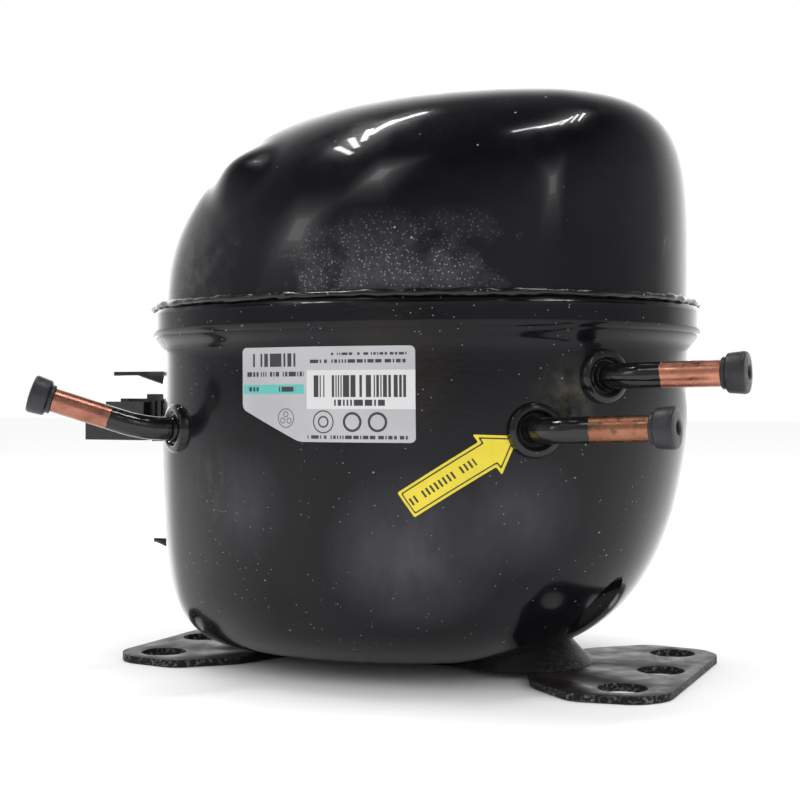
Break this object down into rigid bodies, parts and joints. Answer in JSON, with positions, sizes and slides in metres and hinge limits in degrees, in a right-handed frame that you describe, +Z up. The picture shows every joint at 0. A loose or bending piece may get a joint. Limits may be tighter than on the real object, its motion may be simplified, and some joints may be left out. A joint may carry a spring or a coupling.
{
  "type": "hermetic reciprocating compressor",
  "caption": "Welded black steel shell with copper tube stubs on a stamped base plate, with a spring-hung motor and Scotch-yoke piston pump inside.",
  "frame": {"origin": "middle of the mounting hole pattern, on the underside of the base plate", "axes": "+Z up along the crankshaft; +X along the long side of the shell towards the cylinder and the suction and process stubs; the label faces -Y"},
  "size_m": [0.2592, 0.1691, 0.2],
  "materials": {
    "black_enamel": "gloss black baked enamel",
    "copper": "bare drawn copper, slightly aged",
    "plug_rubber": "matt dark grey rubber",
    "bare_steel": "stamped bare steel, satin and slightly brown",
    "plain_steel": "machined steel",
    "spring_steel": "hardened spring steel",
    "laminated_steel": "varnished laminations",
    "enamelled_wire": "varnished copper wire",
    "cast_aluminium": "as cast",
    "grey_iron": "machined casting",
    "brass_screw": "plain brass",
    "gasket": "pressed fibre",
    "black_plastic": "moulded black plastic",
    "cream_plastic": "moulded cream plastic",
    "label_film": "silvery white film",
    "yellow_film": "yellow film"
  },
  "bodies": {
    "shell": {"lower_shell": "black_enamel", "upper_shell": "black_enamel", "weld_bead": "black_enamel", "base_plate": "bare_steel", "process_tube": "copper", "suction_tube": "copper", "discharge_tube": "copper", "process_collar": "black_enamel", "suction_collar": "black_enamel", "discharge_collar": "black_enamel", "hermetic_terminal": "plain_steel", "upper_guard_tab": "black_enamel", "lower_guard_tab": "black_enamel", "earth_screw": "brass_screw", "rating_label": "label_film", "arrow_sticker": "yellow_film", "lead_connector": "cream_plastic", "motor_lead": "cream_plastic", "spring_seat_1": "plain_steel", "spring_seat_2": "plain_steel", "spring_seat_3": "plain_steel", "spring_seat_4": "plain_steel", "spring_1": "spring_steel", "spring_2": "spring_steel", "spring_3": "spring_steel", "spring_4": "spring_steel"},
    "process_cap": {"process_plug": "plug_rubber"},
    "suction_cap": {"suction_plug": "plug_rubber"},
    "discharge_cap": {"discharge_plug": "plug_rubber"},
    "starter": {"starter_block": "black_plastic"},
    "pump": {"stator_core": "laminated_steel", "upper_winding": "enamelled_wire", "lower_winding": "enamelled_wire", "crankcase": "grey_iron", "thrust_washer": "plain_steel", "valve_plate": "plain_steel", "head_gasket": "gasket", "cylinder_head": "cast_aluminium", "suction_muffler": "cream_plastic", "discharge_muffler": "plain_steel", "discharge_line": "copper", "head_bolt_1": "plain_steel", "head_bolt_2": "plain_steel", "head_bolt_3": "plain_steel", "head_bolt_4": "plain_steel", "motor_bolt_1": "plain_steel", "motor_bolt_2": "plain_steel", "motor_bolt_3": "plain_steel", "motor_bolt_4": "plain_steel"},
    "crank": {"crankshaft": "plain_steel", "rotor_core": "laminated_steel", "upper_end_ring": "cast_aluminium", "lower_end_ring": "cast_aluminium", "oil_pickup": "plain_steel"},
    "slider": {"slide_block": "plain_steel"},
    "carrier": {"yoke_oil_cap": "brass_screw"},
    "piston": {"piston_and_yoke": "grey_iron"},
    "suction_valve": {"suction_reed": "spring_steel"},
    "discharge_valve": {"discharge_reed": "spring_steel"}
  },
  "joints": [
    {"name": "suspension", "type": "slide", "parent": "shell", "child": "pump", "axis": [0, 0, 1], "range_m": [-0.003, 0.003], "stiffness_N_per_m": 20000, "springref_m": 0.00306, "deforming": ["spring_1", "spring_2", "spring_3", "spring_4"]},
    {"name": "crank_spin", "type": "hinge", "parent": "pump", "child": "crank", "pos_m": [-0.004, -0.004, 0.11], "axis": [0, 0, 1], "continuous": true},
    {"name": "slide_block_turn", "type": "hinge", "parent": "crank", "child": "slider", "pos_m": [-0.0165, -0.004, 0.14], "axis": [0, 0, 1], "continuous": true},
    {"name": "carrier_turn", "type": "hinge", "parent": "crank", "child": "carrier", "pos_m": [-0.01025, -0.004, 0.14], "axis": [0, 0, 1], "continuous": true},
    {"name": "yoke_turn", "type": "hinge", "parent": "carrier", "child": "piston", "pos_m": [-0.0165, -0.004, 0.14], "axis": [0, 0, 1], "continuous": true},
    {"name": "suction_reed_flex", "type": "hinge", "parent": "pump", "child": "suction_valve", "pos_m": [0.0595, -0.004, 0.127], "axis": [0, -1, 0], "range_deg": [0, 4.5], "stiffness_Nm_per_rad": 0.02},
    {"name": "discharge_reed_flex", "type": "hinge", "parent": "pump", "child": "discharge_valve", "pos_m": [0.0635, -0.004, 0.153], "axis": [0, -1, 0], "range_deg": [0, 6], "stiffness_Nm_per_rad": 0.02},
    {"name": "process_plug_pull", "type": "slide", "parent": "shell", "child": "process_cap", "axis": [0.999, -0.04, 0.02], "range_m": [0, 0.02]},
    {"name": "suction_plug_pull", "type": "slide", "parent": "shell", "child": "suction_cap", "axis": [0.9978, -0.0599, 0.0299], "range_m": [0, 0.02]},
    {"name": "discharge_plug_pull", "type": "slide", "parent": "shell", "child": "discharge_cap", "axis": [-0.8009, -0.5134, 0.3081], "range_m": [0, 0.02]},
    {"name": "starter_pull", "type": "slide", "parent": "shell", "child": "starter", "axis": [-1, 0, 0], "range_m": [0, 0.015]}
  ],
  "couplings": [
    {"joint": "slide_block_turn", "follows": "crank_spin", "ratio": -1},
    {"joint": "carrier_turn", "follows": "crank_spin", "ratio": -2},
    {"joint": "yoke_turn", "follows": "crank_spin", "ratio": 1}
  ]
}
